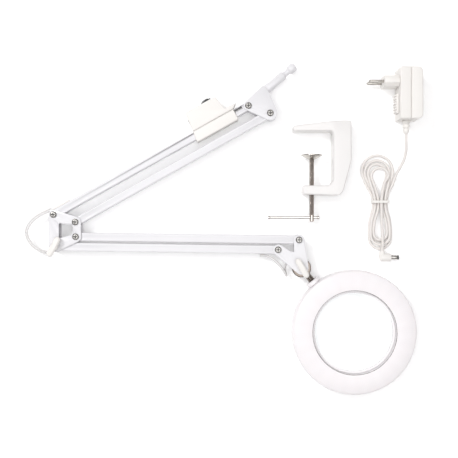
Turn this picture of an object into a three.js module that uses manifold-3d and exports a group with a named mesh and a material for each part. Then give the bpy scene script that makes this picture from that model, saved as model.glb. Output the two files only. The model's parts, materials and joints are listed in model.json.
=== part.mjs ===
// A folded magnifying lamp laid flat on a table: a jointed arm with a lit lens at its end, the bench
// clamp and the plug-in power supply with its tied cord beside it. Millimetres, +Z up, z = 0 is the table.
import * as THREE from "three";
import { mergeVertices } from "three/addons/utils/BufferGeometryUtils.js";
import Module from "manifold-3d";

const wasm = await Module();
wasm.setup();

// ---- driving dimensions ----------------------------------------------------------------------
const contactGap = 0.3; // between faces that touch
const runningGap = 0.3; // round a pin, all the way round
const degree = Math.PI / 180;

const arm = {
  mid: 14.5, // height of the arm's middle plane over the table
  barLength: 280, // pivot to pivot
  spacing: 29, // between the two pivots of a bracket
  barWidth: 10.4,
  barDepth: 15.4,
  wall: 1.2,
  plate: 1.5, // sheet thickness of the brackets
  sideGap: 0.8, // between a bar and a bracket plate
};
const angles = { upper: 209.2, shoulder: -18.8, forearm: -0.8, post: 39.8, head: -50.8 };
const shoulder = { x: 33.5, y: 153.5 }; // outer shoulder pivot
// forearm pivots from the elbow's first pivot
const elbowShape = { outer: [1.7, -40.2], inner: [27.9, -27.8] };
const screw = { shank: 4.6, head: 8.2, headHeight: 2.4, nutAcross: 8, nutHeight: 4.2, slot: 1.1 };
const lever = { length: 27, width: 7.6, thickness: 6.5, hub: 9, hubHeight: 3.6, bolt: 4.8, boltHead: 11 };
const post = { diameter: 11.5, neck: 7, start: 14, neckStart: 61, knobStart: 68.5, end: 78, offset: 1.6 };
const box = { depth: 22, wall: 2, start: 19, lip: 12, left: 76.2, low: -9.1, top: 30.4, seam: 5.5 };
const rocker = { u: 44, width: 7.6, length: 11.6, frameU: 13, frameZ: 19, tilt: 7 };
const tilt = { x: 3.5, y: -35.2, disc: 24, stem: 8.2, stemEnd: 36 }; // from the wrist pivot
const collar = { diameter: 17, start: 20.9 };
const head = { diameter: 156, thickness: 29, reach: 26.4, window: 105.2, wall: 2, seam: 21.7, round: 4,
  facets: 48 };
const lens = { diameter: 100, edge: 3, rise: 6.2, ledge: 97.5, seat: 12.7 };
const clamp = { thickness: 29, screwX: 16.8, y: 57.1, opening: 68, screw: 6, pad: 27, handle: 3.5 };
const supply = { x: 136.2, y: 150.1, depth: 42, width: 28, height: 64.4, neckLength: 19, neckWidth: 13.9 };
const cord = { diameter: 3.6, mid: 21, hankFloor: 1.3, hankTop: 12.6 };
const cable = { elbow: 4.5, head: 3.2 };

const plateIn = arm.barDepth / 2 + arm.sideGap; // inner face of a bracket plate from the middle plane
const plateOut = plateIn + arm.plate;
const barRound = arm.barWidth / 2;

// ---- finishes --------------------------------------------------------------------------------
const finish = (color, roughness, metalness) =>
  new THREE.MeshStandardMaterial({ color, roughness, metalness });
const paint = finish(0xeceaf0, 0.35, 0);
const creamPlastic = finish(0xf6f3ee, 0.45, 0);
const headPlastic = finish(0xf8f3f5, 0.4, 0);
const diffuserPlastic = finish(0xfbf7f8, 0.5, 0);
const blackPlastic = finish(0x101012, 0.4, 0);
const nickel = finish(0xb9b4ae, 0.25, 1);
const chrome = finish(0xd8d6d4, 0.08, 1);
const glass = finish(0xeef4f4, 0.02, 0);
const whiteBoard = finish(0xf0f0ec, 0.6, 0);
const cordPlastic = finish(0xf2efea, 0.5, 0);

// ---- solids ----------------------------------------------------------------------------------
function toSolid(geometry) {
  const bare = new THREE.BufferGeometry();
  bare.setAttribute("position", geometry.getAttribute("position"));
  if (geometry.index) bare.setIndex(geometry.index);
  const merged = mergeVertices(bare, 1e-4);
  const index = merged.index.array;
  const faces = [];
  for (let i = 0; i < index.length; i += 3) {
    const [a, b, c] = index.slice(i, i + 3);
    if (a !== b && b !== c && c !== a) faces.push(a, b, c);
  }
  const vertProperties = Float32Array.from(merged.getAttribute("position").array);
  return new wasm.Manifold(new wasm.Mesh({ numProp: 3, vertProperties,
    triVerts: Uint32Array.from(faces) }));
}

function toGeometry(solid) {
  const { vertProperties, triVerts } = solid.getMesh();
  const geometry = new THREE.BufferGeometry();
  geometry.setAttribute("position", new THREE.BufferAttribute(vertProperties, 3));
  geometry.setIndex(new THREE.BufferAttribute(triVerts, 1));
  geometry.computeVertexNormals();
  return geometry;
}

const cut = (base, ...tools) =>
  toGeometry(tools.reduce((rest, tool) => rest.subtract(toSolid(tool)), toSolid(base)));
const join = (base, ...more) => toGeometry(more.reduce((all, one) => all.add(toSolid(one)), toSolid(base)));

// A path's points, without the one that repeats its start.
function corners(path, curveSegments) {
  const points = path.getPoints(curveSegments);
  if (points.at(-1).distanceTo(points[0]) < 1e-6) points.pop();
  return points;
}

// A shape extruded from z0 to z1, with its rims rounded by bevel.
function slab(shape, z0, z1, bevel = 0, curveSegments = 3) {
  const outline = new THREE.Shape(corners(shape, curveSegments));
  outline.holes = shape.holes.map((hole) => new THREE.Path(corners(hole, curveSegments * 2)));
  const options = { depth: z1 - z0 - 2 * bevel, bevelEnabled: bevel > 0 };
  Object.assign(options,
    { bevelThickness: bevel, bevelSize: bevel, bevelOffset: -bevel, bevelSegments: 1 });
  return new THREE.ExtrudeGeometry(outline, options).translate(0, 0, z0 + bevel);
}

// A profile of [radius, height] turned round Z; it runs counter-clockwise, axis to axis or closed.
function turned(profile, segments = 16) {
  const points = profile.map(([r, h]) => new THREE.Vector2(r, h));
  return new THREE.LatheGeometry(points, segments).rotateX(Math.PI / 2);
}

const rod = (radius, z0, z1, segments = 16) =>
  turned([[0, z0], [radius, z0], [radius, z1], [0, z1]], segments);
const alongX = (geometry) => geometry.rotateY(Math.PI / 2);
const alongY = (geometry) => geometry.rotateX(-Math.PI / 2);
const block = (x0, x1, y0, y1, z0, z1) =>
  new THREE.BoxGeometry(x1 - x0, y1 - y0, z1 - z0).translate((x0 + x1) / 2, (y0 + y1) / 2, (z0 + z1) / 2);

// Direction from a circle's centre to where a belt round two circles leaves it, on its outer side.
function beltAngle([ax, ay, ar], [bx, by, br]) {
  return Math.atan2(by - ay, bx - ax) - Math.acos((ar - br) / Math.hypot(bx - ax, by - ay));
}

// The outline of a belt drawn tight round circles [x, y, radius] in counter-clockwise order.
function belt(circles) {
  const shape = new THREE.Shape();
  circles.forEach((circle, i) => {
    const before = circles.at(i - 1);
    const after = circles[(i + 1) % circles.length];
    shape.absarc(...circle, beltAngle(before, circle), beltAngle(circle, after), false);
  });
  shape.closePath();
  return shape;
}

// A wall that follows a belt's straight run between two circles, trimmed at each end.
function beltWall(from, to, thickness, trim) {
  const angle = beltAngle(from, to);
  const out = new THREE.Vector2(Math.cos(angle), Math.sin(angle));
  const start = new THREE.Vector2(from[0], from[1]).addScaledVector(out, from[2]);
  const end = new THREE.Vector2(to[0], to[1]).addScaledVector(out, to[2]);
  const along = end.clone().sub(start).normalize();
  start.addScaledVector(along, trim[0]);
  end.addScaledVector(along, -trim[1]);
  const inner = (point) => point.clone().addScaledVector(out, -thickness);
  return new THREE.Shape([start, end, inner(end), inner(start)]);
}

// An outline through corners [x, y, radius], with each corner rounded to its radius.
function filleted(places) {
  const shape = new THREE.Shape();
  const at = (i) => new THREE.Vector2(...places[(i + places.length) % places.length].slice(0, 2));
  places.forEach(([, , radius = 0], i) => {
    const back = at(i - 1).sub(at(i)).normalize();
    const on = at(i + 1).sub(at(i)).normalize();
    const half = Math.acos(back.dot(on)) / 2;
    const reach = radius / Math.tan(half);
    const start = at(i).addScaledVector(back, reach);
    if (i === 0) shape.moveTo(start.x, start.y);
    else shape.lineTo(start.x, start.y);
    if (radius === 0) return;
    const centre = at(i).addScaledVector(back.clone().add(on).normalize(), radius / Math.sin(half));
    const end = at(i).addScaledVector(on, reach);
    const turn = (point) => Math.atan2(point.y - centre.y, point.x - centre.x);
    shape.absarc(centre.x, centre.y, radius, turn(start), turn(end), back.cross(on) > 0);
  });
  shape.closePath();
  return shape;
}

function circlePath(x, y, radius) {
  const path = new THREE.Path();
  path.absarc(x, y, radius, 0, 2 * Math.PI, true);
  return path;
}

// A round cable along points [x, y, z].
function tube(points, diameter, steps, sides = 8) {
  const section = new THREE.Shape();
  section.absarc(0, 0, diameter / 2, 0, 2 * Math.PI, false);
  const extrudePath = new THREE.CatmullRomCurve3(points.map((point) => new THREE.Vector3(...point)));
  return new THREE.ExtrudeGeometry(section,
    { steps, extrudePath, bevelEnabled: false, curveSegments: sides / 2 });
}

function group(parent, x, y, z = 0, angle = 0) {
  const child = new THREE.Group();
  child.position.set(x, y, z);
  child.rotation.z = angle * degree;
  parent.add(child);
  return child;
}

function piece(parent, name, geometry, material) {
  const mesh = new THREE.Mesh(geometry, material);
  mesh.name = name;
  parent.add(mesh);
  return mesh;
}

const polar = (distance, angle) =>
  [distance * Math.cos(angle * degree), distance * Math.sin(angle * degree)];

// ---- fasteners -------------------------------------------------------------------------------
const underPlate = plateOut + contactGap;
const shankEnd = -arm.mid + 0.8;

// A cross-head screw through both plates of a bracket, and the nut behind it.
function pivotScrew(parent, name, x, y) {
  const shank = screw.shank / 2;
  const rim = screw.head / 2;
  const top = underPlate + screw.headHeight;
  const body = turned([
    [0, shankEnd], [shank, shankEnd], [shank, underPlate], [rim, underPlate], [rim, underPlate + 1],
    [rim * 0.72, top - 0.3], [0, top],
  ]);
  const arms = [0, 90].map((turn) =>
    block(-rim * 0.55, rim * 0.55, -screw.slot / 2, screw.slot / 2, top - 1.3, top + 1)
      .rotateZ((turn + 20) * degree));
  piece(parent, `${name}_screw`, cut(body, ...arms).translate(x, y, 0), nickel);
  const corner = screw.nutAcross / Math.sqrt(3);
  const turns = [15, 75, 135, 195, 255, 315];
  const hexagon = new THREE.Shape(turns.map((turn) => new THREE.Vector2(...polar(corner, turn))));
  hexagon.holes.push(circlePath(0, 0, shank + runningGap));
  const nut = slab(hexagon, -underPlate - screw.nutHeight, -underPlate, 0);
  piece(parent, `${name}_nut`, nut.translate(x, y, 0), nickel);
}

// A bolt from behind with the plastic lever that tightens it.
function leverBolt(parent, leverParent, name, x, y, angle) {
  const shank = lever.bolt / 2;
  const rim = lever.boltHead / 2;
  const low = -underPlate - screw.nutHeight;
  const top = underPlate + lever.hubHeight + 3;
  const bolt = turned([
    [0, low], [rim * 0.5, low], [rim, low + 2], [rim, -underPlate], [shank, -underPlate], [shank, top],
    [0, top],
  ]);
  piece(parent, `${name}_bolt`, bolt.translate(x, y, 0), nickel);
  const hubTop = underPlate + lever.hubHeight;
  const bar = belt([[-(lever.length - lever.width) / 2, 0, lever.width / 2],
    [(lever.length - lever.width) / 2, 0, lever.width / 2]]);
  const hub = rod(lever.hub / 2, underPlate, hubTop + 1);
  const handle = join(hub, slab(bar, hubTop, hubTop + lever.thickness, 1.6));
  const bore = rod(shank + runningGap, underPlate - 1, top + contactGap);
  piece(leverParent, `${name}_lever`, cut(handle, bore).rotateZ(angle * degree).translate(x, y, 0),
    creamPlastic);
}

// ---- bars ------------------------------------------------------------------------------------
// A hollow bar from its first pivot at 0 to its second at barLength, open at both ends.
function bar(...tools) {
  const outer = slab(belt([[0, 0, barRound], [arm.barLength, 0, barRound]]), -arm.barDepth / 2,
    arm.barDepth / 2, 0.7);
  const inY = barRound - arm.wall;
  const inZ = arm.barDepth / 2 - arm.wall;
  const hollow = block(-arm.barWidth, arm.barLength + arm.barWidth, -inY, inY, -inZ, inZ);
  const eyes = [0, arm.barLength].map((x) =>
    rod(screw.shank / 2 + runningGap, -arm.barDepth, arm.barDepth).translate(x, 0, 0));
  return cut(outer, hollow, ...eyes, ...tools);
}

const springSlot = { from: 8, to: 19.5, y: -2.4, half: 1.9 };
const spring = { radius: 3.2, from: 8, to: 96, clearance: 0.5 };

// just under the bar's upper face
const springZ = arm.barDepth / 2 - arm.wall - spring.radius - spring.clearance;
const coil = () => alongX(rod(spring.radius, spring.from, spring.to, 12))
  .translate(0, springSlot.y * 0.3, springZ);

// ---- base ------------------------------------------------------------------------------------
const lamp = new THREE.Group();
const base = group(lamp, shoulder.x, shoulder.y, arm.mid, angles.post);
const [innerX, innerY] = polar(arm.spacing, angles.shoulder - angles.post);

function bracketPlates(shape) {
  return [slab(shape, plateIn, plateOut), slab(shape, -plateOut, -plateIn)];
}

function makeBase() {
  const mouth = { x: 30, high: 7.2, low: -3.6 };
  const innerEye = [innerX, innerY, 9];
  const lowCorner = [mouth.x, mouth.low, 0.6];
  const outline = belt([[0, 0, 6], innerEye, lowCorner, [mouth.x, mouth.high, 0.6]]);
  const hole = screw.shank / 2 + runningGap;
  outline.holes.push(circlePath(0, 0, hole), circlePath(innerX, innerY, hole));
  const [front, back] = bracketPlates(outline);
  const web = slab(beltWall(innerEye, lowCorner, arm.plate, [2, 4.5]), -plateIn - 0.5, plateIn + 0.5);
  const radius = post.diameter / 2;
  const socket = block(post.start - 1, mouth.x - 1, post.offset - radius - 1.6, mouth.high - 0.4,
    -plateIn - 0.5, plateIn + 0.5);
  const bore = alongX(rod(radius + contactGap, post.start - contactGap, post.end, 24))
    .translate(0, post.offset, 0);
  piece(base, "base_bracket", cut(join(front, back, web, socket), bore), paint);

  const neck = post.neck / 2;
  const turnedPost = turned([
    [0, post.start], [radius, post.start], [radius, post.neckStart - 2], [neck, post.neckStart],
    [neck, post.knobStart - 1.4], [radius - 0.6, post.knobStart], [radius, post.knobStart + 1],
    [radius, post.end - 1.6], [radius - 1.6, post.end], [0, post.end],
  ], 20);
  piece(base, "mounting_post", alongX(turnedPost).translate(0, post.offset, 0), paint);
  pivotScrew(base, "shoulder_outer", 0, 0);
  pivotScrew(base, "shoulder_inner", innerX, innerY);
}

// ---- upper arm -------------------------------------------------------------------------------
// Along x from the shoulder to the elbow; the outer side is -y.
const upperOuter = group(lamp, shoulder.x, shoulder.y, arm.mid, angles.upper);
const [spanX, spanY] = polar(arm.spacing, angles.shoulder);
const upperInner = group(lamp, shoulder.x + spanX, shoulder.y + spanY, arm.mid, angles.upper);
const clip = { from: arm.barLength - 25, to: arm.barLength - 1, rise: 2.8, half: 4 };

function makeUpperArm() {
  const { from, to, y, half } = springSlot;
  const upperFace = arm.barDepth / 2;
  const slot = block(from, to, y - half, y + half, upperFace - arm.wall - 2.5, upperFace + 4.3);
  piece(upperOuter, "upper_bar_outer", bar(slot), paint);
  piece(upperInner, "upper_bar_inner", bar(), paint);
  piece(upperOuter, "upper_spring", coil(), nickel);
  const clipOutline = filleted([
    [clip.from, -barRound - contactGap], [clip.from, -barRound - clip.rise, 1.2],
    [clip.to, -barRound - clip.rise, 0], [clip.to, -barRound - contactGap],
  ].reverse());
  piece(upperOuter, "cable_clip", slab(clipOutline, -clip.half, clip.half, 0.6), creamPlastic);
}

// The switch box sits astride the outer bar: heights are measured outward from the bar's axis.
function makeSwitchBox() {
  const half = box.depth / 2;
  const up = (points) => points.map(([u, height, fillet]) => [u, -height, fillet]);
  const cover = slab(filleted(up([
    [box.start, box.seam, 0], [box.left, box.seam, 0], [box.left - 2.6, box.top, 2.5],
    [box.lip + 19, box.top, 2.5], [box.lip + 16, 11.4, 1.5], [box.lip, 10.6, 0],
  ])), -half, half, 1);
  const roof = box.top - box.wall;
  const pocket = block(box.lip + 21, box.left - 2 - box.wall * 1.4, -roof, -box.seam + 1, -half + box.wall,
    half - box.wall);
  const frameHalf = rocker.frameU / 2 - 1.2;
  const window = block(rocker.u - frameHalf - contactGap, rocker.u + frameHalf + contactGap, -box.top - 1,
    -roof + 1,
    -rocker.frameZ / 2 + 1.5, rocker.frameZ / 2 - 1.5);
  const jackY = -17;
  const jackHole = alongX(rod(4.8, box.left - 8, box.left + 4, 20)).translate(0, jackY, 0);
  piece(upperOuter, "switch_box_cover", cut(cover, pocket, window, jackHole), creamPlastic);

  const barSide = arm.barDepth / 2 + contactGap;
  const saddle = slab(filleted(up([
    [box.start, box.seam - contactGap, 0], [box.start, box.low, 1.5], [box.left + 2.4, box.low, 1.5],
    [box.left + 0.2, box.seam - contactGap, 0],
  ])), -half, half, 1);
  const channel = block(box.lip, box.left + 8, -box.seam - 4, barRound + contactGap, -barSide, barSide);
  piece(upperOuter, "switch_box_saddle", cut(saddle, channel), creamPlastic);

  const jack = turned([[0, 0], [4.5, 0], [4.5, 11], [2.9, 11], [2.9, 2.4], [1, 2.4], [1, 10], [0, 10]], 20);
  piece(upperOuter, "dc_socket", alongX(jack).translate(box.left - 12, jackY, 0), blackPlastic);

  const low = box.top - 7.6;
  const rim = box.top + contactGap;
  const frameZ = rocker.frameZ / 2;
  const flange = block(rocker.u - rocker.frameU / 2, rocker.u + rocker.frameU / 2, -rim - 1.1, -rim,
    -frameZ, frameZ);
  const body = block(rocker.u - frameHalf, rocker.u + frameHalf, -rim - 0.5, -low, -frameZ + 1.8,
    frameZ - 1.8);
  const well = block(rocker.u - rocker.width / 2 - runningGap, rocker.u + rocker.width / 2 + runningGap,
    -rim - 3, -low - 1, -rocker.length / 2 - 0.9, rocker.length / 2 + 0.9);
  piece(upperOuter, "switch_frame", cut(join(flange, body), well), blackPlastic);

  const end = rocker.length / 2;
  const side = new THREE.Shape([[-end, 1], [-2.4, -2.6], [2.4, -2.6], [end, 1], [end, 3.2], [0, 2.1],
    [-end, 3.2]]
    .map(([z, height]) => new THREE.Vector2(z, height)));
  const key = slab(side, -rocker.width / 2, rocker.width / 2);
  key.rotateZ(rocker.tilt * degree).rotateY(Math.PI / 2).rotateX(Math.PI);
  piece(upperOuter, "switch_rocker", key.translate(rocker.u, -box.top + 0.7, 0), blackPlastic);
}

// ---- elbow -----------------------------------------------------------------------------------
const [reachX, reachY] = polar(arm.barLength, angles.upper);
const elbow = group(lamp, shoulder.x + reachX, shoulder.y + reachY, arm.mid);

function makeElbow() {
  const eyes = [[0, 0, 5.8], [...elbowShape.outer, 7], [...elbowShape.inner, 6.8], [spanX, spanY, 6.8]];
  const outline = belt(eyes);
  const hole = screw.shank / 2 + runningGap;
  eyes.forEach(([x, y]) => outline.holes.push(circlePath(x, y, hole)));
  const window = filleted([[6.8, -10.5, 1.5], [6.8, -30.2, 1.5], [23.9, -25.2, 1.5], [23.9, -13.6, 1.5]]);
  outline.holes.push(window);
  const [front, back] = bracketPlates(outline);
  const web = slab(beltWall(eyes[0], eyes[1], arm.plate, [8, 9.5]), -plateIn - 0.5, plateIn + 0.5);
  piece(elbow, "elbow_bracket", join(front, back, web), paint);
  pivotScrew(elbow, "elbow_upper_outer", 0, 0);
  pivotScrew(elbow, "elbow_upper_inner", spanX, spanY);
  pivotScrew(elbow, "elbow_forearm_inner", ...elbowShape.inner);
  leverBolt(elbow, elbow, "elbow", ...elbowShape.outer, 62);
  const loop = [
    [-4.1, 7, 0], [-8.4, 4.9, 0], [-18.2, 0.2, 0], [-27.7, -6.6, 0], [-34, -15.1, 0], [-35.8, -23, 0],
    [-33.4, -31.5, 0], [-27.2, -39.6, 0], [-18.2, -45.4, 0], [-8.6, -48.2, 0], [-2, -48.4, 0],
  ];
  piece(elbow, "elbow_cable", tube(loop, cable.elbow, 26), cordPlastic);
}

// ---- forearm ---------------------------------------------------------------------------------
const innerPivot = [elbow.position.x + elbowShape.inner[0], elbow.position.y + elbowShape.inner[1]];
const outerPivot = [elbow.position.x + elbowShape.outer[0], elbow.position.y + elbowShape.outer[1]];
const forearmInner = group(lamp, ...innerPivot, arm.mid, angles.forearm);
const forearmOuter = group(lamp, ...outerPivot, arm.mid, angles.forearm);

function makeForearm() {
  piece(forearmInner, "forearm_bar_inner", bar(), paint);
  piece(forearmOuter, "forearm_bar_outer", bar(), paint);
  piece(forearmInner, "forearm_spring", coil(), nickel);
}

// ---- head bracket ----------------------------------------------------------------------------
const [foreX, foreY] = polar(arm.barLength, angles.forearm);
const wrist = group(lamp, innerPivot[0] + foreX, innerPivot[1] + foreY, arm.mid);
const outerWrist = [elbowShape.outer[0] - elbowShape.inner[0], elbowShape.outer[1] - elbowShape.inner[1]];

function makeHeadBracket() {
  const eye = 6.7;
  const knee = 8.5;
  const hole = rod(screw.shank / 2 + runningGap, -20, 20);
  const arms = [
    belt([[tilt.x, tilt.y, knee], [0, 0, eye]]),
    belt([[tilt.x, tilt.y, knee], [...outerWrist, eye]]),
    belt([[-9.5, -17.5, 2.6], [tilt.x, tilt.y, 6], [-0.5, -17.5, 2.6]]),
  ];
  const eyes = [[0, 0], outerWrist, [tilt.x, tilt.y]].map(([x, y]) => hole.clone().translate(x, y, 0));
  [["front", plateIn], ["back", -plateOut]].forEach(([side, z]) => {
    const plate = join(...arms.map((shape) => slab(shape, z, z + arm.plate)));
    piece(wrist, `head_plate_${side}`, cut(plate, ...eyes), paint);
  });
  pivotScrew(wrist, "wrist_inner", 0, 0);
  pivotScrew(wrist, "wrist_outer", ...outerWrist);
  leverBolt(wrist, wrist, "tilt", tilt.x, tilt.y, -60.5);
  const route = [
    [-49, -19.6, 0], [-44, -19.7, 0], [-39, -20.8, 0.4], [-31.5, -25, 1.5], [-24.8, -31, 2.4],
    [-19, -38.2, 2],
    [-15.6, -44.2, -0.8], [-15, -45, -4.6], [-16.4, -40.6, -6.4], [-17, -34.4, -5], [-14.6, -30.2, -1.5],
    [-9.6, -30.4, 0],
  ];
  piece(wrist, "head_cable", tube(route, cable.head, 28), cordPlastic);
}

// ---- head ------------------------------------------------------------------------------------
// Along x from the tilt pivot, through the stem, to the middle of the lens.
const headGroup = group(lamp, wrist.position.x + tilt.x, wrist.position.y + tilt.y, arm.mid, angles.head);
const headRadius = head.diameter / 2;
const headCentre = head.reach + headRadius;

function makeHead() {
  const disc = tilt.disc / 2;
  const depth = plateIn - contactGap;
  const wheel = turned([[0, -depth], [disc - 1, -depth], [disc, -depth + 1], [disc, depth - 1],
    [disc - 1, depth], [0, depth]], 24);
  const stem = alongX(rod(tilt.stem / 2, 6, tilt.stemEnd));
  const pin = rod(lever.bolt / 2 + runningGap, -20, 20);
  piece(headGroup, "tilt_knuckle", cut(join(wheel, stem), pin), chrome);

  const stemHole = alongX(rod(tilt.stem / 2 + runningGap, 10, headCentre, 20));
  const round = alongX(rod(collar.diameter / 2, collar.start, head.reach + 4, 20));
  const rimTool = rod(headRadius + contactGap, -20, 20, head.facets).translate(headCentre, 0, 0);
  piece(headGroup, "head_collar", cut(round, stemHole, rimTool), headPlastic);

  const low = -arm.mid;
  const seam = low + head.seam;
  const top = low + head.thickness;
  const inner = head.window / 2;
  const ledge = lens.ledge / 2;
  const seat = low + lens.seat;
  const w = head.wall;
  const round45 = head.round * 0.3;
  const shell = turned([
    [inner, low], [headRadius - head.round, low], [headRadius - round45, low + round45],
    [headRadius, low + head.round],
    [headRadius, seam], [headRadius - w, seam], [headRadius - w, low + head.round],
    [headRadius - head.round, low + w],
    [inner + w, low + w], [inner + w, top - 4.3], [inner, top - 4.3], [inner, seat], [ledge, seat],
    [ledge, seat - 3],
    [inner, seat - 5], [inner, low],
  ], head.facets).translate(headCentre, 0, 0);
  piece(headGroup, "head_housing", cut(shell, stemHole), headPlastic);

  const capLow = seam + contactGap;
  const cap = turned([
    [headRadius - w, capLow], [headRadius, capLow], [headRadius, top - head.round],
    [headRadius - round45, top - round45],
    [headRadius - head.round, top], [inner + 0.6, top], [inner, top - 0.6], [inner, top - 4],
    [inner + w, top - 4],
    [inner + w, top - w], [headRadius - head.round, top - w], [headRadius - w, top - head.round],
    [headRadius - w, capLow],
  ], head.facets);
  piece(headGroup, "head_diffuser", cap.translate(headCentre, 0, 0), diffuserPlastic);

  const boardZ = low + 19.6;
  const board = turned([[inner + 4, boardZ], [headRadius - 5, boardZ], [headRadius - 5, boardZ + 1.6],
    [inner + 4, boardZ + 1.6], [inner + 4, boardZ]], 32);
  piece(headGroup, "led_board", board.translate(headCentre, 0, 0), whiteBoard);

  const lensLow = seat + contactGap;
  const lensRadius = lens.diameter / 2;
  const dome = (share) => lens.rise * (1 - share * share);
  const shares = [0, 0.4, 0.75, 1];
  const below = shares.map((share) => [lensRadius * share, lensLow - dome(share)]);
  const above = shares.map((share) => [lensRadius * share, lensLow + lens.edge + dome(share)]).reverse();
  piece(headGroup, "lens", turned([...below, ...above], head.facets).translate(headCentre, 0, 0), glass);

  const ringLow = lensLow + lens.edge + contactGap;
  const ringIn = ledge + 0.6;
  const ring = turned([[ringIn, ringLow], [inner - contactGap, ringLow], [inner - contactGap, ringLow + 3],
    [ringIn, ringLow + 3], [ringIn, ringLow]], head.facets);
  piece(headGroup, "lens_retainer", ring.translate(headCentre, 0, 0), headPlastic);
}

// ---- clamp -----------------------------------------------------------------------------------
// Origin on the clamp screw's axis, at the underside of the lower jaw.
const bench = group(lamp, wrist.position.x + clamp.screwX, wrist.position.y + clamp.y, clamp.thickness / 2);
const jaw = { low: 11, back: 25.7, outer: 48.5, tip: -24.6, lowerTip: -12.2, root: 13.2, tipHeight: 6.5 };
const pad = { y: 47.4, height: 2, clearance: 0.4 };
const screwTravelEnd = -34.3;
const handleY = -29;

function makeClamp() {
  const half = clamp.thickness / 2;
  const gapTop = jaw.low + clamp.opening;
  const top = gapTop + jaw.root;
  const outline = filleted([
    [jaw.tip, gapTop, 2], [jaw.back, gapTop, 3], [jaw.back, jaw.low, 8], [jaw.lowerTip, jaw.low, 2],
    [jaw.lowerTip, 0, 2], [jaw.back - 2, -1.6, 3], [jaw.back + 8.6, -1.4, 5], [jaw.outer - 9.6, 5.4, 4],
    [jaw.outer, 42, 5], [jaw.outer, top, 2], [jaw.back + 1, top - 0.4, 6],
    [jaw.tip, gapTop + jaw.tipHeight, 2.5],
  ]);
  const boreX = (jaw.back + jaw.outer) / 2 + 0.3;
  const postBore = alongY(rod(post.diameter / 2 + runningGap, top - 62, top + 5, 24))
    .translate(boreX, 0, 0);
  const thread = alongY(rod(clamp.screw / 2 + runningGap, -10, jaw.low + 5, 20));
  piece(bench, "clamp_frame", cut(slab(outline, -half, half, 1.2), postBore, thread), paint);

  const radius = clamp.screw / 2;
  const padRadius = clamp.pad / 2;
  const pocket = radius + pad.clearance;
  const seatTop = pad.y + 1.2;
  const dish = turned([
    [pocket, pad.y - 3], [pocket + 1.4, pad.y - 3], [padRadius, pad.y + pad.height],
    [padRadius, pad.y + pad.height + 1], [0, pad.y + pad.height + 1], [0, seatTop], [pocket, seatTop],
    [pocket, pad.y - 3],
  ], 24);
  piece(bench, "pressure_pad", alongY(dish), nickel);

  const spindle = alongY(turned([
    [0, screwTravelEnd], [radius - 0.6, screwTravelEnd], [radius, screwTravelEnd + 0.6],
    [radius, seatTop - 1.3],
    [radius - 1, seatTop - contactGap], [0, seatTop - contactGap],
  ], 20));
  const handleRadius = clamp.handle / 2;
  const eye = alongX(rod(handleRadius + runningGap, -10, 10, 14)).translate(0, handleY, 0);
  piece(bench, "clamp_screw", cut(spindle, eye), chrome);

  const left = -55.4;
  const right = 9.6;
  const knob = handleRadius + 0.75;
  const handle = alongX(turned([
    [0, left], [knob - 0.4, left], [knob, left + 0.4], [knob, left + 2.4], [handleRadius, left + 2.8],
    [handleRadius, right - 2.8], [knob, right - 2.4], [knob, right - 0.4], [knob - 0.4, right], [0, right],
  ], 14));
  piece(bench, "tommy_bar", handle.translate(0, handleY, 0), chrome);
}

// ---- power supply ----------------------------------------------------------------------------
// Origin where the cord leaves the case; the case stands on its narrow side.
const brick = group(lamp, wrist.position.x + supply.x, wrist.position.y + supply.y, cord.mid);

function makeSupply() {
  const half = supply.depth / 2;
  const seamX = 1.6;
  const front = filleted([
    [-12, 0, 1.5], [seamX - contactGap, 0, 0], [seamX - contactGap, supply.height, 0],
    [-12, supply.height, 1.5],
  ]);
  piece(brick, "supply_front", slab(front, -half, half, 1.2), creamPlastic);
  const back = filleted([
    [seamX, 0, 0], [supply.width - 12, 0, 6], [supply.width - 12, supply.height, 6],
    [seamX, supply.height, 0],
  ]);
  piece(brick, "supply_back", slab(back, -half, half, 1.2), creamPlastic);

  const neckMid = 47.7;
  const wide = supply.neckWidth / 2;
  const neckHalf = 17.5;
  const section = filleted([[-neckHalf, -2.4, 1], [-neckHalf + 5, -wide, 2], [neckHalf - 5, -wide, 2],
    [neckHalf, -2.4, 1],
    [neckHalf, 2.4, 1], [neckHalf - 5, wide, 2], [-neckHalf + 5, wide, 2], [-neckHalf, 2.4, 1]]);
  const pinHole = (z) => alongX(rod(2.3, -60, -20, 16)).translate(0, neckMid, z);
  const neck = slab(section, 0, supply.neckLength - contactGap).rotateY(-Math.PI / 2)
    .translate(-12 - contactGap, neckMid, 0);
  const pinZ = 9.3;
  const neckFace = -12 - supply.neckLength;
  const pocket = (side) =>
    cut(pinHole(side * pinZ), block(neckFace + 8 + 2 * contactGap, 0, -100, 100, -30, 30));
  piece(brick, "plug_neck", cut(neck, pocket(1), pocket(-1)), creamPlastic);
  [["upper", 1], ["lower", -1]].forEach(([place, side]) => {
    const pin = turned([[0, -8], [2, -8], [2, 17.5], [1, 19], [0, 19]], 16).rotateY(-Math.PI / 2);
    pin.translate(neckFace + contactGap, neckMid, side * pinZ);
    piece(brick, `plug_pin_${place}`, pin, nickel);
  });

  const ribs = [];
  for (let i = 0; i < 7; i += 1) ribs.push(block(-16.4, -14.6, 9.6 + 3.3 * i, 11.4 + 3.3 * i, -9, 9));
  const pawl = block(-15, -12 - contactGap, 8.2, 32.2, -10, 10);
  piece(brick, "supply_latch", join(pawl, ...ribs), creamPlastic);

  const relief = turned([
    [0, contactGap], [4.8, contactGap], [4.8, 4.4], [3.9, 4.4], [3.9, 5.6], [4.4, 5.6], [4.4, 9.4],
    [3.5, 9.4], [3.5, 10.6],
    [3.9, 10.6], [3.9, 14], [3, 16.6], [0, 16.6],
  ], 12);
  piece(brick, "strain_relief", relief.rotateX(Math.PI / 2).translate(-1.5, 0, 0), creamPlastic);
}

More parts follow.
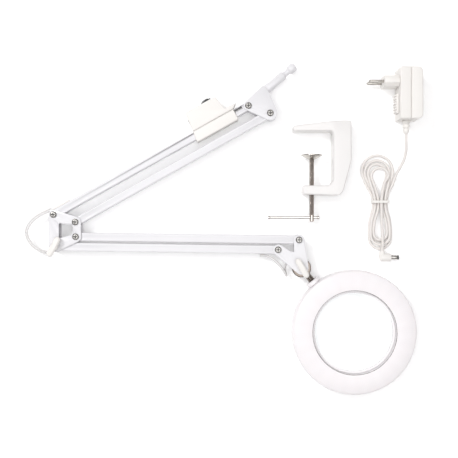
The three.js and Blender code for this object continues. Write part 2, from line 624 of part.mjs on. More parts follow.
// ---- cord ------------------------------------------------------------------------------------
// Measured from the power supply's origin across the table, and up from the table.
function makeCord() {
  const floor = group(brick, 0, 0, -cord.mid);
  const lead = [
    [-1.5, -17, 21], [-1.3, -25, 20.6], [-0.8, -32, 18.8], [-0.6, -39, 16.2], [-2, -47.5, 13.2],
    [-5, -55, 10.6],
  ];
  piece(floor, "cord_lead", tube(lead, cord.diameter, 12), cordPlastic);
  const hank = new THREE.Shape(new THREE.CatmullRomCurve3([
    [-34, -39.8], [-46, -44], [-54, -54], [-56, -66], [-52, -80], [-44.5, -92], [-40.4, -102],
    [-42.6, -116],
    [-46, -130], [-46.8, -146], [-43.6, -158], [-37.5, -163.6], [-27.5, -161.4], [-19.6, -153],
    [-15.6, -141], [-17, -126],
    [-20.6, -113], [-22.8, -102], [-19.4, -92], [-13.6, -79], [-9.4, -66], [-10.6, -52.5], [-20, -42.4],
  ].map(([x, y]) => new THREE.Vector3(x, y, 0)), true).getPoints(69).slice(0, -1)
    .map(({ x, y }) => new THREE.Vector2(x, y)));
  piece(floor, "cord_hank", slab(hank, cord.hankFloor, cord.hankTop), cordPlastic);

  const middle = (cord.hankFloor + cord.hankTop) / 2;
  const waist = { x: -31.6, y: -102, half: 10.2, rise: (cord.hankTop - cord.hankFloor) / 2 + contactGap };
  const loop = (grow) => filleted([
    [-waist.half - grow, -waist.rise - grow, 2 + grow], [waist.half + grow, -waist.rise - grow, 2 + grow],
    [waist.half + grow, waist.rise + grow, 2 + grow], [-waist.half - grow, waist.rise + grow, 2 + grow],
  ]);
  const band = loop(0.9);
  band.holes.push(loop(0));
  piece(floor, "cord_tie", slab(band, -1.6, 1.6).rotateX(Math.PI / 2).translate(waist.x, waist.y, middle),
    creamPlastic);

  const plug = { x: -22.4, y: -172.6, z: 5.8 };
  const shell = alongX(turned([[0, -9.4], [4.6, -9.4], [5.2, -8.6], [5.2, 2.6], [4.4, 4.6], [0, 4.6]], 24));
  const spout = alongY(turned([[0, 0], [4.2, 0], [3.9, 5.6], [2.9, 8.4], [0, 8.4]], 20))
    .translate(-6.6, 0, 0);
  piece(floor, "dc_plug", join(shell, spout).translate(plug.x, plug.y, plug.z), creamPlastic);
  const sleeve = turned([[0, 4.9], [2.75, 4.9], [2.75, 14.4], [1.1, 14.4], [1.1, 8], [0, 8]], 20);
  piece(floor, "dc_plug_barrel", alongX(sleeve).translate(plug.x, plug.y, plug.z), nickel);
}

makeBase();
makeUpperArm();
makeSwitchBox();
makeElbow();
makeForearm();
makeHeadBracket();
makeHead();
makeClamp();
makeSupply();
makeCord();

export default lamp;
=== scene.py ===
import json
import math

import bpy
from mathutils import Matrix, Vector


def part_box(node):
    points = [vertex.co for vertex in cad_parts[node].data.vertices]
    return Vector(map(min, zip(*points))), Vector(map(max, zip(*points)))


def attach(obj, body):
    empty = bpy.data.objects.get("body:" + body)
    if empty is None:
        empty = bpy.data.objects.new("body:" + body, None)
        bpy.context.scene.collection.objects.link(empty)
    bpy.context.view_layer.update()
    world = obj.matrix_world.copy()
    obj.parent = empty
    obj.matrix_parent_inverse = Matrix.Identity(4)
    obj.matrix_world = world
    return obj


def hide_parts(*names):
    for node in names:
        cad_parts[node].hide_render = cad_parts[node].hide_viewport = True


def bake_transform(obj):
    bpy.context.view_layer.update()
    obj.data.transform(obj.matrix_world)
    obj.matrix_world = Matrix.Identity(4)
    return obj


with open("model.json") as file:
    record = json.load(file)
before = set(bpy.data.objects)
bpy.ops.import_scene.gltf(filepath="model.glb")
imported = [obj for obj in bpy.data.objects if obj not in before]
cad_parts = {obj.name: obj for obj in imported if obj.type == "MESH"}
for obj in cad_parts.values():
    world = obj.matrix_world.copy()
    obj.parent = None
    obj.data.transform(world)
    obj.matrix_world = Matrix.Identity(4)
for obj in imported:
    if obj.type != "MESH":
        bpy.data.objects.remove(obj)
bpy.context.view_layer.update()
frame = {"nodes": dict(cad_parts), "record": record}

MM = 0.001
nodes = frame["nodes"]
record = frame["record"]
scene = bpy.context.scene
scene.view_settings.view_transform = "Standard"

# ---- pivots in the arm's middle plane ------------------------------------------------------------
ARM_Z = 14.5
SHOULDER = (33.5, 153.5)
UPPER_ANGLE, FOREARM_ANGLE, STEM_ANGLE = 209.2, -0.8, -50.8
BAR_LENGTH = 280
ELBOW_TO_FOREARM = (27.9, -27.8)
WRIST_TO_TILT = (3.5, -35.2)
TILT_TO_HEAD = 104.4
WRIST_TO_CLAMP_AXIS = 16.8
WRIST_TO_SUPPLY = (136.2, 150.1)


def polar(origin, reach, angle):
    turn = math.radians(angle)
    return origin[0] + reach * math.cos(turn), origin[1] + reach * math.sin(turn)


def moved(origin, step):
    return origin[0] + step[0], origin[1] + step[1]


ELBOW = polar(SHOULDER, BAR_LENGTH, UPPER_ANGLE)
FOREARM_PIVOT = moved(ELBOW, ELBOW_TO_FOREARM)
WRIST = polar(FOREARM_PIVOT, BAR_LENGTH, FOREARM_ANGLE)
HEAD = polar(moved(WRIST, WRIST_TO_TILT), TILT_TO_HEAD, STEM_ANGLE)
CLAMP_AXIS = WRIST[0] + WRIST_TO_CLAMP_AXIS
SUPPLY = moved(WRIST, WRIST_TO_SUPPLY)


def metres(point):
    return tuple(c * MM for c in point)


# ---- camera --------------------------------------------------------------------------------------
CAMERA_HEIGHT, VIEW_WIDTH, SENSOR = 1150, 586.2, 36
VIEW_CENTRE = (9.2, -1.2)
camera_data = bpy.data.cameras.new("camera")
camera_data.sensor_width = SENSOR
camera_data.lens = SENSOR * CAMERA_HEIGHT / VIEW_WIDTH
camera_data.clip_start = 0.01
camera = bpy.data.objects.new("camera", camera_data)
camera.location = metres((*VIEW_CENTRE, CAMERA_HEIGHT))
scene.collection.objects.link(camera)
scene.camera = camera


# ---- materials -----------------------------------------------------------------------------------
class Nodes:
    """A material's node tree, written in short calls. Coordinates are the object's own, in metres."""

    def __init__(self, name):
        self.material = bpy.data.materials.new(name)
        self.material.use_nodes = True
        self.tree = self.material.node_tree
        self.shader = next(n for n in self.tree.nodes if n.type == "BSDF_PRINCIPLED")
        self.place = self.tree.nodes.new("ShaderNodeTexCoord").outputs["Object"]

    def plug(self, value, socket):
        if isinstance(value, bpy.types.NodeSocket):
            self.tree.links.new(value, socket)
        else:
            socket.default_value = value

    def add(self, kind, inputs, output=0, **settings):
        node = self.tree.nodes.new(kind)
        for key, value in settings.items():
            setattr(node, key, value)
        for key, value in inputs.items():
            self.plug(value, node.inputs[key])
        return node.outputs[output]

    def math(self, operation, *values):
        return self.add("ShaderNodeMath", dict(enumerate(values)), operation=operation)

    def noise(self, scale, detail=3, rough=0.5, place=None):
        inputs = {"Vector": place or self.place, "Scale": scale, "Detail": detail, "Roughness": rough}
        return self.add("ShaderNodeTexNoise", inputs)

    def ranged(self, value, low, high, start=0.3, end=0.7):
        inputs = {0: value, 1: start, 2: end, 3: low, 4: high}
        return self.add("ShaderNodeMapRange", inputs)

    def mix(self, share, first, second, blend="MIX"):
        node = self.tree.nodes.new("ShaderNodeMix")
        node.data_type = "RGBA"
        node.blend_type = blend
        self.plug(share, node.inputs[0])
        self.plug(first, node.inputs[6])
        self.plug(second, node.inputs[7])
        return node.outputs[2]

    def bump(self, height, strength, distance, under=None):
        inputs = {"Height": height, "Strength": strength, "Distance": distance}
        if under is not None:
            inputs["Normal"] = under
        return self.add("ShaderNodeBump", inputs)

    def offset(self, centre):
        """The object's coordinates about a point given in millimetres, as three sockets."""
        moved = self.add("ShaderNodeVectorMath", {0: self.place, 1: metres(centre)}, operation="SUBTRACT")
        parts = self.tree.nodes.new("ShaderNodeSeparateXYZ")
        self.tree.links.new(moved, parts.inputs[0])
        return parts.outputs

    def length(self, x, y):
        return self.math("SQRT", self.math("ADD", self.math("MULTIPLY", x, x), self.math("MULTIPLY", y, y)))

    def finish(self, **inputs):
        for key, value in inputs.items():
            self.plug(value, self.shader.inputs[key.replace("_", " ")])
        return self.material


def tint(colour, share):
    return (*(c * share for c in colour[:3]), 1)


def coated(name, colour, rough, cell, relief, mottle=0.97, coat=0.0):
    """Powder-coated sheet or moulded plastic: cell is the size of the surface's grain in millimetres."""
    n = Nodes(name)
    grain = n.noise(1 / (cell * MM), 2)
    cloud = n.noise(40, 4)
    dust = n.noise(420, 5, 0.7)
    base = n.mix(n.ranged(cloud, 0, 1), tint(colour, mottle), tint(colour, 1))
    base = n.mix(n.ranged(dust, 0, 0.35, 0.62, 0.8), base, tint(colour, mottle * 0.96))
    rubbed = n.ranged(cloud, rough * 0.88, rough * 1.12)
    normal = n.bump(grain, relief, 0.04 * MM)
    return n.finish(Base_Color=base, Roughness=rubbed, Normal=normal, Coat_Weight=coat)


def metal(name, colour, rough, brush=0.0, scratch=0.15):
    """Plated or polished metal, with fine lines drawn along its height."""
    n = Nodes(name)
    stretched = n.add("ShaderNodeMapping", {"Vector": n.place, "Scale": (1, 1, 14)})
    lines = n.noise(900, 3, 0.6, stretched)
    cloud = n.noise(160, 4, 0.6)
    base = n.mix(n.ranged(cloud, 0, 1), tint(colour, 0.86), tint(colour, 1))
    dull = n.math("ADD", n.ranged(cloud, rough * 0.7, rough * 1.4), n.math("MULTIPLY", lines, brush))
    normal = n.bump(lines, scratch, 0.006 * MM)
    return n.finish(Base_Color=base, Roughness=dull, Normal=normal, Metallic=1.0)


def threaded(name, colour, pitch, depth, start, end):
    """A rolled screw thread about the clamp's axis, between two heights in millimetres, with painted shade
    in its grooves.
    """
    n = Nodes(name)
    x, y, z = n.offset((CLAMP_AXIS, 0, ARM_Z))
    angle = n.math("DIVIDE", n.math("ARCTAN2", x, z), 2 * math.pi)
    phase = n.math("FRACT", n.math("ADD", n.math("DIVIDE", y, pitch * MM), angle))
    ridge = n.math("PINGPONG", phase, 0.5)
    inside = n.math("MULTIPLY", n.math("GREATER_THAN", y, start * MM), n.math("LESS_THAN", y, end * MM))
    # Painted shade: the thread's grooves are coloured dark and made rougher where shade falls between the
    # ridges.
    painted_groove_shade = n.math("MULTIPLY", inside, n.ranged(ridge, 1, 0, 0.05, 0.35))
    height = n.math("MULTIPLY", inside, ridge)
    base = n.mix(painted_groove_shade, tint(colour, 1), tint((0.1, 0.075, 0.06), 1))
    dull = n.math("ADD", 0.12, n.math("MULTIPLY", painted_groove_shade, 0.3))
    normal = n.bump(height, 1.0, depth * MM)
    return n.finish(Base_Color=base, Roughness=dull, Normal=normal, Metallic=1.0)


SLOT_HALF, RECESS_REACH = 0.6, 2.4
RIM_START, RIM_END = 3.1, 3.9


def screw_head(name, centre):
    """A nickel pan head: painted shade fills the cross recess in the middle, and painted shade darkens the
    rim where it falls away.
    """
    n = Nodes(name)
    x, y, _ = n.offset(centre)
    x, y = n.math("ABSOLUTE", x), n.math("ABSOLUTE", y)
    reach = n.length(x, y)
    cross = n.math("LESS_THAN", n.math("MINIMUM", x, y), SLOT_HALF * MM)
    # Painted shade: the cross recess is coloured near black and is not metallic.
    painted_recess_shade = n.math("MULTIPLY", cross, n.math("LESS_THAN", reach, RECESS_REACH * MM))
    cloud = n.noise(500, 4, 0.6)
    base = n.mix(n.ranged(cloud, 0, 1), (0.31, 0.3, 0.29, 1), (0.42, 0.41, 0.39, 1))
    # Painted shade: the rim is darkened where it falls away from the light.
    rim = n.ranged(reach, 0, 0.75, RIM_START * MM, RIM_END * MM)
    base = n.mix(rim, base, (0.12, 0.11, 0.1, 1))
    base = n.mix(painted_recess_shade, base, (0.03, 0.028, 0.026, 1))
    return n.finish(
        Base_Color=base, Metallic=n.math("SUBTRACT", 1, painted_recess_shade), Roughness=n.ranged(cloud, 0.18, 0.34),
        Normal=n.bump(n.noise(3000, 2), 0.1, 0.01 * MM),
    )


TIP_LENGTH = 1.6


def plug_sleeve(name, tip):
    """Nickel sleeve with a black insulating tip."""
    n = Nodes(name)
    x = n.offset((tip, 0, 0))[0]
    end = n.math("GREATER_THAN", x, -TIP_LENGTH * MM)
    cloud = n.noise(700, 4, 0.6)
    base = n.mix(n.ranged(cloud, 0, 1), (0.36, 0.345, 0.33, 1), (0.5, 0.485, 0.465, 1))
    base = n.mix(end, base, (0.012, 0.012, 0.012, 1))
    bare = n.math("SUBTRACT", 1, end)
    return n.finish(Base_Color=base, Metallic=bare, Roughness=n.ranged(cloud, 0.16, 0.3))


LIP_RADIUS, LIP_HEIGHT = 53.0, 28.2
WIDE_RIBS = 24


def ring_plastic(name, colour, rough, ribs, strength):
    """Milky plastic round the lens: fine ribs run outwards from the head's centre to the inner lip, where a
    dark line of painted shadow is drawn.
    """
    n = Nodes(name)
    x, y, z = n.offset((*HEAD, 0))
    turn = n.math("ARCTAN2", x, y)
    rib = n.math("SINE", n.math("MULTIPLY", turn, ribs))
    wide = n.math("SINE", n.math("MULTIPLY", turn, WIDE_RIBS))
    cloud = n.noise(60, 4, 0.6)
    shade = n.math("ADD", n.math("MULTIPLY", rib, 0.3), n.math("MULTIPLY", wide, 0.4))
    base = n.mix(n.ranged(shade, 0, 1, -0.7, 0.7), tint(colour, 0.972), tint(colour, 1))
    base = n.mix(n.ranged(cloud, 0, 0.6), base, tint((0.86, 0.815, 0.835), 1))
    # Painted shadow: a thin dark line inside the lip's radius, above its height, stands for the shadow gap
    # at the lens.
    inside = n.math("LESS_THAN", n.length(x, y), LIP_RADIUS * MM)
    painted_lip_shadow = n.math("MULTIPLY", inside, n.math("GREATER_THAN", z, LIP_HEIGHT * MM))
    base = n.mix(painted_lip_shadow, base, (0.2, 0.18, 0.18, 1))
    normal = n.bump(rib, strength, 0.03 * MM, n.bump(n.noise(2600, 2), 0.08, 0.02 * MM))
    return n.finish(
        Base_Color=base, Roughness=n.ranged(cloud, rough * 0.9, rough * 1.15), Normal=normal,
        Subsurface_Weight=0.15, Subsurface_Scale=0.004, Subsurface_Radius=(1, 0.9, 0.85),
    )


def glass(name):
    """Clear glass, faintly smeared, that lets the lights' rays straight through."""
    n = Nodes(name)
    smear = n.noise(70, 4, 0.6)
    clean = n.ranged(smear, 0.0, 0.03, 0.45, 0.75)
    base = n.mix(n.ranged(smear, 0, 1), (0.985, 0.995, 0.995, 1), (1, 1, 1, 1))
    n.finish(Base_Color=base, Roughness=clean, IOR=1.5, Transmission_Weight=1.0)
    path = n.tree.nodes.new("ShaderNodeLightPath").outputs
    through = n.math("MAXIMUM", path["Is Shadow Ray"], path["Is Diffuse Ray"])
    clear = n.add("ShaderNodeBsdfTransparent", {"Color": (0.97, 0.98, 0.98, 1)})
    both = n.add("ShaderNodeMixShader", {0: through, 1: n.shader.outputs[0], 2: clear})
    output = next(node for node in n.tree.nodes if node.type == "OUTPUT_MATERIAL")
    n.tree.links.new(both, output.inputs["Surface"])
    return n.material


def jacket(name, colour, rough):
    """Soft extruded vinyl, with faint die lines and a little dust."""
    n = Nodes(name)
    cloud = n.noise(120, 4, 0.6)
    fine = n.noise(1500, 3)
    base = n.mix(n.ranged(cloud, 0, 1), tint(colour, 0.955), tint(colour, 1))
    normal = n.bump(fine, 0.18, 0.03 * MM)
    return n.finish(
        Base_Color=base, Roughness=n.ranged(cloud, rough * 0.85, rough * 1.2), Normal=normal,
        Subsurface_Weight=0.08, Subsurface_Scale=0.002, Subsurface_Radius=(1, 0.9, 0.8),
    )


FINISHES = {
    "white_paint": coated("white_paint", (0.735, 0.728, 0.75), 0.34, 0.9, 0.12, 0.965, 0.25),
    "cream_plastic": coated("cream_plastic", (0.82, 0.797, 0.77), 0.46, 0.35, 0.22),
    "black_plastic": coated("black_plastic", (0.012, 0.012, 0.014), 0.3, 0.4, 0.2, 0.8, 0.3),
    "circuit_board": coated("circuit_board", (0.78, 0.78, 0.74), 0.55, 1.4, 0.2),
    "head_plastic": coated("head_plastic", (0.84, 0.812, 0.825), 0.36, 0.5, 0.12, 0.98, 0.2),
    "diffuser_plastic": ring_plastic("diffuser_plastic", (0.87, 0.838, 0.85), 0.42, 180, 0.18),
    "nickel": metal("nickel", (0.56, 0.535, 0.5), 0.2, 0.06),
    # Painted light: the spring's colour is raised well above steel's to make up for the shade of the slot it
    # lies in.
    "spring_steel": metal("spring_steel", (0.9, 0.89, 0.88), 0.4, 0.05),
    "chrome": metal("chrome", (0.72, 0.68, 0.65), 0.06, 0.03, 0.06),
    "lens_glass": glass("lens_glass"),
    "cord_jacket": jacket("cord_jacket", (0.78, 0.745, 0.72), 0.48),
}
LEAD_JACKET = jacket("lead_jacket", (0.7, 0.685, 0.68), 0.44)
KNUCKLE_CHROME = metal("knuckle_chrome", (0.2, 0.172, 0.152), 0.1, 0.04, 0.06)
RETAINER_PLASTIC = coated("retainer_plastic", (0.88, 0.86, 0.87), 0.4, 0.5, 0.12)
CLAMP_PAINT = coated("clamp_paint", (0.785, 0.768, 0.76), 0.36, 0.9, 0.12, 0.965, 0.25)
THREAD = threaded("clamp_thread", (0.62, 0.56, 0.52), pitch=1.5, depth=0.9, start=16.5, end=88)


def give(obj, material):
    obj.data.materials.clear()
    obj.data.materials.append(material)


SLOTS = {part["node"]: part["material_slot"] for part in record["subparts"]}
for name, node in nodes.items():
    give(node, FINISHES[SLOTS[name]])
give(nodes["clamp_screw"], THREAD)
give(nodes["clamp_frame"], CLAMP_PAINT)
give(nodes["tilt_knuckle"], KNUCKLE_CHROME)
give(nodes["lens_retainer"], RETAINER_PLASTIC)
give(nodes["dc_plug_barrel"], plug_sleeve("plug_sleeve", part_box("dc_plug_barrel")[1][0] / MM))
for name, node in nodes.items():
    if name.endswith(("inner_screw", "outer_screw")):
        low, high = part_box(name)
        give(node, screw_head(f"{name}_finish", [(a + b) / 2 / MM for a, b in zip(low, high)]))

# Small rounds on every machined or moulded edge catch the light.
ROUND_WIDTH = {"white_paint": 0.22, "cream_plastic": 0.3, "head_plastic": 0.3}
OTHER_ROUND, WELD_REACH, SHARP_EDGE = 0.12, 0.002, 32
for name, node in nodes.items():
    for polygon in node.data.polygons:
        polygon.use_smooth = True
    weld = node.modifiers.new("weld", "WELD")
    weld.merge_threshold = WELD_REACH * MM
    bevel = node.modifiers.new("bevel", "BEVEL")
    bevel.width = ROUND_WIDTH.get(SLOTS[name], OTHER_ROUND) * MM
    bevel.segments = 2
    bevel.limit_method = "ANGLE"
    bevel.angle_limit = math.radians(SHARP_EDGE)
    bevel.harden_normals = True


# ---- shapes --------------------------------------------------------------------------------------
def link(name, data, material):
    obj = bpy.data.objects.new(name, data)
    scene.collection.objects.link(obj)
    give(obj, material)
    return obj


def smooth_line(points, steps):
    """A Catmull-Rom curve through the points, with that many steps between two of them."""
    ends = [points[0], *points, points[-1]]
    line = []
    for a, b, c, d in zip(ends, ends[1:], ends[2:], ends[3:]):
        a, b, c, d = Vector(a), Vector(b), Vector(c), Vector(d)
        for step in range(steps):
            t = step / steps
            square, cube = 2 * a - 5 * b + 4 * c - d, 3 * b - a - 3 * c + d
            line.append(0.5 * (2 * b + (c - a) * t + square * t**2 + cube * t**3))
    line.append(Vector(points[-1]))
    return line


def cord_curve(name, line, diameter, material):
    data = bpy.data.curves.new(name, "CURVE")
    data.dimensions = "3D"
    data.bevel_depth = diameter / 2 * MM
    data.bevel_resolution = 4
    data.use_fill_caps = True
    spline = data.splines.new("POLY")
    spline.points.add(len(line) - 1)
    for point, place in zip(spline.points, line):
        point.co = (*metres(place), 1)
    spline.use_smooth = True
    return link(name, data, material)


def tube_mesh(name, line, radius, sides, material):
    """A tube with closed ends, its rings carried along the line without twist."""
    line = [Vector(metres(p)) for p in line]
    side = Vector((0, 0, 1))
    points, faces = [], []
    for i, place in enumerate(line):
        along = (line[min(i + 1, len(line) - 1)] - line[max(i - 1, 0)]).normalized()
        side = (side - along * side.dot(along)).normalized()
        across = along.cross(side)
        for k in range(sides):
            turn = 2 * math.pi * k / sides
            points.append(place + (side * math.cos(turn) + across * math.sin(turn)) * radius * MM)
    for i in range(len(line) - 1):
        for k in range(sides):
            a, b = i * sides + k, i * sides + (k + 1) % sides
            faces.append((a, b, b + sides, a + sides))
    last = (len(line) - 1) * sides
    faces.append(tuple(reversed(range(sides))))
    faces.append(tuple(range(last, last + sides)))
    data = bpy.data.meshes.new(name)
    data.from_pydata(points, [], faces)
    data.polygons.foreach_set("use_smooth", [True] * len(faces))
    return link(name, data, material)


def lathe(name, profile, centre, material, segments=96):
    """A closed profile of (radius, height) turned about a vertical axis; a radius of 0 makes one point."""
    points, faces, rows = [], [], []
    for radius, height in profile:
        count = 1 if radius == 0 else segments
        rows.append((len(points), count))
        for k in range(count):
            turn = 2 * math.pi * k / segments
            points.append(metres((
                centre[0] + radius * math.cos(turn), centre[1] + radius * math.sin(turn), centre[2] + height,
            )))
    for (a, many), (b, more) in zip(rows, rows[1:]):
        for k in range(segments):
            following = (k + 1) % segments
            ring = [a + k % many, a + following % many, b + following % more, b + k % more]
            faces.append(tuple(dict.fromkeys(ring)))
    data = bpy.data.meshes.new(name)
    data.from_pydata(points, [], faces)
    data.polygons.foreach_set("use_smooth", [True] * len(faces))
    return link(name, data, material)


# ---- the supply's cord ---------------------------------------------------------------------------
CORD_DIAMETER = 3.6
LEAD = [
    (-1.5, -15.4, 21), (-1.5, -17, 21), (-1.3, -25, 20.6), (-0.8, -32, 18.8), (-0.6, -39, 16.2),
    (-2, -47.5, 13.2), (-5, -55, 10.6), (-8.6, -62, 8.2), (-12.4, -70, 5.8), (-15.6, -80.2, 4),
    (-20.9, -91, 3.2),
]
# Each run of the hank: how far it lies from the hank's middle line at its upper end, at the tie and at its
# lower end, and its height there. Runs lie to the right and to the left in turn.
RUNS = [
    (21.5, 8.4, 13.7, 3.1, 3.1, 3.1),
    (21.5, 8.4, 13.7, 3.1, 3.1, 3.1),
    (17.7, 4.4, 10.1, 3.1, 3.1, 3.1),
    (17.9, 4.4, 10.1, 3.1, 3.1, 3.1),
    (13.6, 6.4, 12.0, 3.1, 6.5, 6.5),
    (13.7, 6.4, 12.0, 3.1, 6.5, 6.5),
    (9.6, 2.3, 8.5, 3.1, 6.5, 6.5),
    (9.7, 2.3, 8.5, 3.1, 6.5, 6.5),
    (11.6, -1.0, 0, 6.6, 9.9, 9.6),
]
TOP_FOLDS = [-62.4, -64.9, -65.4, -69.4]  # the heights of the folds' centres
LOW_FOLDS = [-148.0, -141.4, -144.4, -141.8]
MIDDLE = [(-62, -32.9), (-102, -31.6), (-150, -31.4)]
UPPER_SHARES = [(-79.5, 0.66), (-91.5, 0.2)]
LOWER_SHARES = [(-113, 0.15), (-127, 0.8)]
TIE_Y = -102
TAIL = [
    (-26.6, -78, 9.9), (-29.2, -90, 9.9), (-30.6, -102, 9.9), (-30.2, -114, 9.6), (-29.8, -128, 9.0),
    (-29.4, -142, 9.6), (-29.1, -150, 10.4), (-29.0, -156.2, 10.2), (-29, -161.4, 8), (-29, -165.4, 6.3),
]


def middle(y):
    """The hank's middle line, straight between three points."""
    (top, a), (waist, b), (low, c) = MIDDLE
    if y > waist:
        return b + (a - b) * (y - waist) / (top - waist)
    return b + (c - b) * (waist - y) / (waist - low)


def run_points(index, top_y, low_y):
    """One run's points from its upper fold down to its lower one."""
    side = 1 if index % 2 == 0 else -1
    high, waist, low, high_z, waist_z, low_z = RUNS[index]
    found = [(middle(top_y) + side * high, top_y, high_z)]
    for y, share in UPPER_SHARES:
        found.append((middle(y) + side * (waist + (high - waist) * share), y, waist_z))
    found.append((middle(TIE_Y) + side * waist, TIE_Y, waist_z))
    for y, share in LOWER_SHARES:
        height = waist_z + (low_z - waist_z) * share
        found.append((middle(y) + side * (waist + (low - waist) * share), y, height))
    found.append((middle(low_y) + side * low, low_y, low_z))
    return found


def fold(start, end, rise):
    """Three points of the half circle between two runs; rise is 1 over the top and -1 round the bottom."""
    centre = (Vector(start) + Vector(end)) / 2
    radius = abs(end[0] - start[0]) / 2
    found = []
    for degrees in (45, 90, 135):
        turn = math.radians(degrees)
        share = degrees / 180
        across = (start[0] - centre.x) * math.cos(turn)
        height = start[2] + (end[2] - start[2]) * share
        found.append((centre.x + across, centre.y + rise * radius * math.sin(turn), height))
    return found


def hank():
    points = list(LEAD)
    points += run_points(0, TOP_FOLDS[0], LOW_FOLDS[0])[3:]
    for turn in range(len(LOW_FOLDS)):
        top_y = TOP_FOLDS[turn]
        up = run_points(2 * turn + 1, top_y, LOW_FOLDS[turn])[::-1]
        points += fold(points[-1], up[0], -1) + up
        last = turn == len(LOW_FOLDS) - 1
        lower = LOW_FOLDS[min(turn + 1, len(LOW_FOLDS) - 1)]
        down = run_points(2 * turn + 2, top_y, lower)
        points += fold(points[-1], down[0], 1)
        points += down[:1] + TAIL if last else down
    return [(SUPPLY[0] + x, SUPPLY[1] + y, z) for x, y, z in points]


hank_line = smooth_line(hank(), 8)
cord = cord_curve("supply_cord", hank_line, CORD_DIAMETER, FINISHES["cord_jacket"])
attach(cord, "supply")
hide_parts("cord_lead", "cord_hank")

# ---- cables held at both ends --------------------------------------------------------------------
ELBOW_STRAND, HEAD_CABLE = 2.0, 3.2
ELBOW_ROUTE = [
    (-4.1, 7, 0), (-8.4, 4.9, 0), (-18.2, 0.2, 0), (-27.7, -6.6, 0), (-34, -15.1, 0), (-35.8, -23, 0),
    (-33.4, -31.5, 0), (-27.2, -39.6, 0), (-18.2, -45.4, 0), (-8.6, -48.2, 0), (-2, -48.4, 0),
]
HEAD_ROUTE = [
    (-49, -19.6, 0), (-44, -19.7, 0), (-39, -20.8, 0.4), (-31.5, -25, 1.5), (-24.8, -31, 2.4),
    (-19, -38.2, 2), (-15.6, -44.2, -0.8), (-15, -45, -4.6), (-16.4, -40.6, -6.4), (-17, -34.4, -5),
    (-14.6, -30.2, -1.5), (-9.6, -30.4, 0),
]


def about(origin, point):
    return origin[0] + point[0], origin[1] + point[1], ARM_Z + point[2]


def beside(line, offset):
    """The line moved sideways in its own plane by the offset."""
    moved = []
    for i, point in enumerate(line):
        along = line[min(i + 1, len(line) - 1)] - line[max(i - 1, 0)]
        side = Vector((-along.y, along.x, 0)).normalized()
        moved.append(point + side * offset)
    return moved


def held_cable(name, route, origin, diameter, offsets, split, node, spans):
    """A cable in two lengths that meet at a route point."""
    steps = 6
    line = smooth_line([about(origin, p) for p in route], steps)
    for half, (part, span) in enumerate(zip((line[: split * steps + 1], line[split * steps :]), spans)):
        for strand, offset in enumerate(offsets):
            piece = tube_mesh(
                f"{name}_{half + 1}_{strand + 1}", beside(part, offset), diameter / 2, 16, LEAD_JACKET,
            )
            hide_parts(node)
            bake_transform(piece)


held_cable(
    "elbow_lead", ELBOW_ROUTE, ELBOW, ELBOW_STRAND, (-1.25, 1.25), 5, "elbow_cable",
    (((-5, 7, 0), (-35.5, -21, 0)), ((-36, -25, 0), (-4, -49, 0))),
)
held_cable(
    "head_lead", HEAD_ROUTE, WRIST, HEAD_CABLE, (0,), 5, "head_cable",
    (((-44, -20, 0), (-22, -34, 0)), ((-15.5, -32, 0), (-10, -32, 0))),
)


# ---- springs -------------------------------------------------------------------------------------
SPRING_HALF = 44


def spring(name, node, angle, body):
    """A close-wound tension spring in its bar."""
    wire, lead, per_turn = 0.9, 1.35, 12
    low, high = (Vector(v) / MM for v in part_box(node))
    centre = (low + high) / 2
    radius = (high.z - low.z) / 2 - wire / 2
    half = SPRING_HALF - wire
    along = Vector((math.cos(math.radians(angle)), math.sin(math.radians(angle)), 0))
    across = Vector((-along.y, along.x, 0))
    up = Vector((0, 0, 1))
    steps = int(2 * half / lead * per_turn)
    line = []
    for step in range(steps + 1):
        turn = 2 * math.pi * step / per_turn
        reach = -half + 2 * half * step / steps
        line.append(centre + along * reach + (across * math.cos(turn) + up * math.sin(turn)) * radius)
    piece = cord_curve(name, line, wire, FINISHES["spring_steel"])
    piece.data.bevel_resolution = 2
    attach(piece, body)
    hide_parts(node)


spring("upper_tension_spring", "upper_spring", UPPER_ANGLE, "upper_outer")
spring("forearm_tension_spring", "forearm_spring", FOREARM_ANGLE, "forearm_inner")


# ---- the lens ------------------------------------------------------------------------------------
def make_lens():
    low, high = (Vector(v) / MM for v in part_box("lens"))
    radius, edge, rings, chamfer = (high.x - low.x) / 2, 3, 14, 0.3
    half = (high.z - low.z) / 2
    rise = half - edge / 2
    share = [i / rings for i in range(rings + 1)]
    cap = [(s * (radius - chamfer), edge / 2 + rise * (1 - s * s)) for s in share]
    rim = [(radius, chamfer - edge / 2), (radius, edge / 2 - chamfer)]
    profile = [(r, -h) for r, h in cap] + rim + cap[::-1]
    centre = (*HEAD, (low.z + high.z) / 2)
    piece = lathe("magnifier_lens", profile, centre, FINISHES["lens_glass"])
    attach(piece, "head")
    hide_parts("lens")


make_lens()


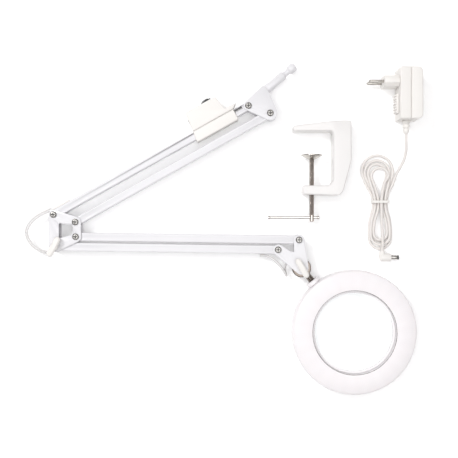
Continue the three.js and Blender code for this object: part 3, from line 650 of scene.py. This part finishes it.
# ---- floor, world and lights ---------------------------------------------------------------------
def make_floor():
    reach = 30
    corners = [(-reach, -reach, 0), (reach, -reach, 0), (reach, reach, 0), (-reach, reach, 0)]
    data = bpy.data.meshes.new("floor")
    data.from_pydata(corners, [], [(0, 1, 2, 3)])
    floor = bpy.data.objects.new("floor", data)
    floor.location.z = -0.02 * MM
    scene.collection.objects.link(floor)
    n = Nodes("floor_paper")
    cloud = n.noise(3, 2)
    base = n.mix(n.ranged(cloud, 0, 1), (0.955, 0.955, 0.957, 1), (0.965, 0.965, 0.966, 1))
    give(floor, n.finish(Base_Color=base, Roughness=n.ranged(cloud, 0.85, 0.95)))
    n.shader.inputs["Specular IOR Level"].default_value = 0.1
    n.shader.inputs["Emission Color"].default_value = (1, 1, 1, 1)
    n.shader.inputs["Emission Strength"].default_value = 0.145


make_floor()


def make_world():
    world = bpy.data.worlds.new("studio")
    scene.world = world
    world.use_nodes = True
    tree = world.node_tree
    background = next(n for n in tree.nodes if n.type == "BACKGROUND")
    place = tree.nodes.new("ShaderNodeTexCoord")
    parts = tree.nodes.new("ShaderNodeSeparateXYZ")
    ramp = tree.nodes.new("ShaderNodeValToRGB")
    tree.links.new(place.outputs["Generated"], parts.inputs[0])
    tree.links.new(parts.outputs["Z"], ramp.inputs[0])
    tree.links.new(ramp.outputs[0], background.inputs["Color"])
    stops = [(0.0, (1.9, 1.9, 1.9)), (0.14, (1.1, 1.08, 1.07)), (0.3, (0.2, 0.15, 0.12)),
             (0.5, (0.72, 0.7, 0.69)), (0.7, (1, 1, 1.01)), (1.0, (1, 1, 1.01))]
    elements = ramp.color_ramp.elements
    while len(elements) < len(stops):
        elements.new(0.5)
    for element, (place_at, colour) in zip(elements, stops):
        element.position = place_at
        element.color = (*colour, 1)
    background.inputs["Strength"].default_value = 0.52


make_world()


def area(name, place, size, power, colour=(1, 1, 1)):
    data = bpy.data.lights.new(name, "AREA")
    data.shape = "DISK"
    data.size = size
    data.energy = power
    data.color = colour
    light = bpy.data.objects.new(name, data)
    light.location = place
    light.rotation_euler = (-Vector(place)).to_track_quat("-Z", "Y").to_euler()
    scene.collection.objects.link(light)


area("overhead", (0.08, -0.12, 2.0), 1.9, 21)
area("key", (-0.95, 0.75, 1.6), 0.5, 15)
